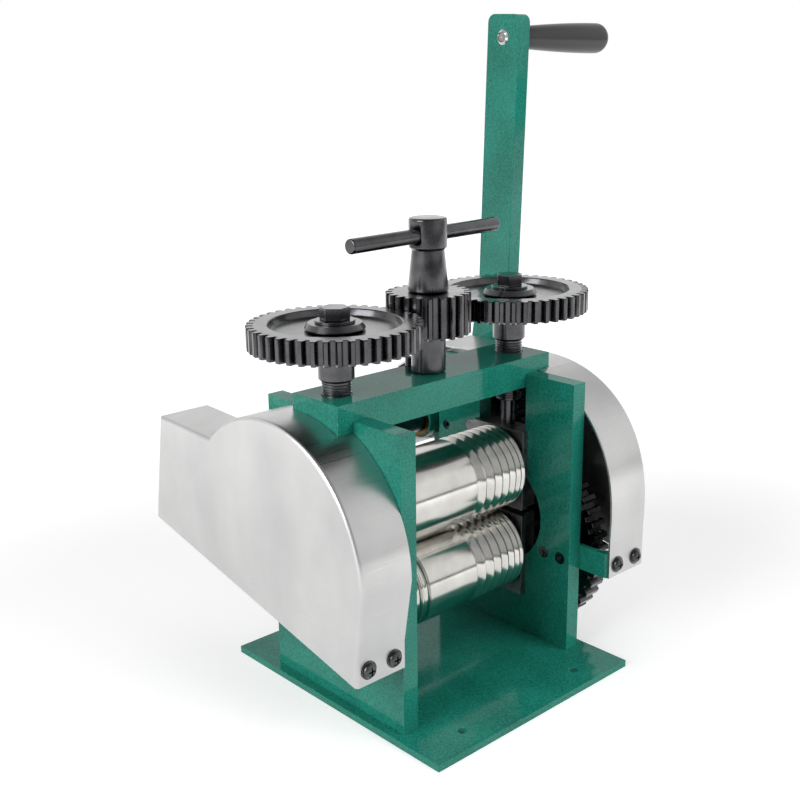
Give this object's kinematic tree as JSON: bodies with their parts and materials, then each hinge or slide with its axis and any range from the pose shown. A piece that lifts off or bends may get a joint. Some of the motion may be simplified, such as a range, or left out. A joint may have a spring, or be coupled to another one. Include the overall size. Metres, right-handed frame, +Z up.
{
  "type": "jewellers rolling mill",
  "caption": "Hand cranked bench rolling mill with two steel rolls for sheet and wire, a geared roll setting on top, sheet metal gear guards and a long crank arm.",
  "frame": {"origin": "centre of the four bench holes on the underside of the base plate", "axes": "+X along the rolls towards the crank arm, +Y to the rear, +Z up"},
  "size_m": [0.3209, 0.2135, 0.3714],
  "materials": {
    "green_paint": "hammered gloss",
    "black_oxide_steel": "black oxide",
    "polished_steel": "polished",
    "ground_steel": "ground",
    "bronze": "machined",
    "satin_aluminium": "satin",
    "black_plastic": "semi gloss"
  },
  "bodies": {
    "frame": {"base_plate": "green_paint", "left_side_plate": "green_paint", "right_side_plate": "green_paint", "top_beam": "green_paint", "base_screws": "black_oxide_steel", "left_rear_bracket": "green_paint", "right_rear_bracket": "green_paint", "rear_bracket_bolts": "black_oxide_steel", "left_crank_bush": "bronze", "right_crank_bush": "bronze", "left_lower_block": "ground_steel", "right_lower_block": "ground_steel", "lower_bushes": "bronze", "lower_thrust_washers": "bronze", "idler_stud": "ground_steel", "idler_clip": "polished_steel", "centre_post": "black_oxide_steel", "post_stop_screw": "black_oxide_steel", "left_guard": "satin_aluminium", "right_guard": "satin_aluminium", "left_guard_bracket": "green_paint", "right_guard_bracket": "green_paint", "guard_fasteners": "black_oxide_steel"},
    "carriage": {"left_upper_block": "ground_steel", "right_upper_block": "ground_steel", "upper_bushes": "bronze", "screw_pins": "polished_steel"},
    "thrust_washers": {"upper_thrust_washers": "bronze"},
    "upper_roll": {"upper_roll": "polished_steel", "upper_roll_gear": "black_oxide_steel", "upper_gear_key": "ground_steel", "upper_gear_bolt": "black_oxide_steel", "upper_lock_nut": "ground_steel"},
    "lower_roll": {"lower_roll": "polished_steel", "lower_roll_gear": "black_oxide_steel", "lower_gear_key": "ground_steel", "lower_gear_bolt": "black_oxide_steel", "lower_right_nut": "ground_steel", "lower_left_nut": "ground_steel"},
    "crank": {"crank_shaft": "ground_steel", "left_drive_pinion": "black_oxide_steel", "right_drive_pinion": "black_oxide_steel", "crank_arm": "green_paint", "crank_washer": "black_oxide_steel", "crank_nut": "black_oxide_steel", "grip_spindle": "polished_steel"},
    "grip": {"handle_grip": "black_plastic"},
    "idler": {"idler_gear": "black_oxide_steel"},
    "left_screw": {"left_pressure_screw": "black_oxide_steel", "left_screw_gear": "black_oxide_steel", "left_gear_washer": "black_oxide_steel", "left_gear_bolt": "black_oxide_steel"},
    "right_screw": {"right_pressure_screw": "black_oxide_steel", "right_screw_gear": "black_oxide_steel", "right_gear_washer": "black_oxide_steel", "right_gear_bolt": "black_oxide_steel"},
    "t_handle": {"centre_pinion": "black_oxide_steel", "t_handle_hub": "black_oxide_steel", "handle_lock_screw": "black_oxide_steel"},
    "t_bar": {"t_bar": "black_oxide_steel"}
  },
  "joints": [
    {"name": "lower_roll_spin", "type": "hinge", "parent": "frame", "child": "lower_roll", "pos_m": [0, 0, 0.057], "axis": [1, 0, 0], "continuous": true},
    {"name": "crank_spin", "type": "hinge", "parent": "frame", "child": "crank", "pos_m": [0, 0.069, 0.123], "axis": [1, 0, 0], "continuous": true},
    {"name": "idler_spin", "type": "hinge", "parent": "frame", "child": "idler", "pos_m": [0.09, 0.0267, 0.12709], "axis": [1, 0, 0], "continuous": true},
    {"name": "grip_spin", "type": "hinge", "parent": "crank", "child": "grip", "pos_m": [0.124, 0.0504, 0.3577], "axis": [1, 0, 0], "continuous": true},
    {"name": "t_handle_spin", "type": "hinge", "parent": "frame", "child": "t_handle", "pos_m": [0, 0, 0.2], "axis": [0, 0, 1], "range_deg": [-1160, 1160]},
    {"name": "t_bar_slide", "type": "slide", "parent": "t_handle", "child": "t_bar", "axis": [0.9983, 0.0576, 0], "range_m": [-0.04, 0.042]},
    {"name": "carriage_lift", "type": "slide", "parent": "frame", "child": "carriage", "axis": [0, 0, 1], "range_m": [-0.0024, 0.0024]},
    {"name": "left_screw_spin", "type": "hinge", "parent": "carriage", "child": "left_screw", "pos_m": [-0.066, 0, 0.2], "axis": [0, 0, 1], "range_deg": [-580, 580]},
    {"name": "right_screw_spin", "type": "hinge", "parent": "carriage", "child": "right_screw", "pos_m": [0.066, 0, 0.2], "axis": [0, 0, 1], "range_deg": [-580, 580]},
    {"name": "gap_turn", "type": "hinge", "parent": "carriage", "child": "thrust_washers", "pos_m": [0, 0, 0.1095], "axis": [1, 0, 0], "range_deg": [-3, 3]},
    {"name": "upper_roll_spin", "type": "hinge", "parent": "thrust_washers", "child": "upper_roll", "pos_m": [0, 0, 0.1095], "axis": [1, 0, 0], "continuous": true}
  ],
  "couplings": [
    {"joint": "crank_spin", "follows": "lower_roll_spin", "ratio": 2.4444},
    {"joint": "idler_spin", "follows": "lower_roll_spin", "ratio": -2.75},
    {"joint": "upper_roll_spin", "follows": "lower_roll_spin", "ratio": -1},
    {"joint": "t_handle_spin", "follows": "carriage_lift", "rad_per_m": -8377.6},
    {"joint": "left_screw_spin", "follows": "carriage_lift", "rad_per_m": 4188.8},
    {"joint": "right_screw_spin", "follows": "carriage_lift", "rad_per_m": 4188.8},
    {"joint": "gap_turn", "follows": "carriage_lift", "rad_per_m": -19.671}
  ]
}
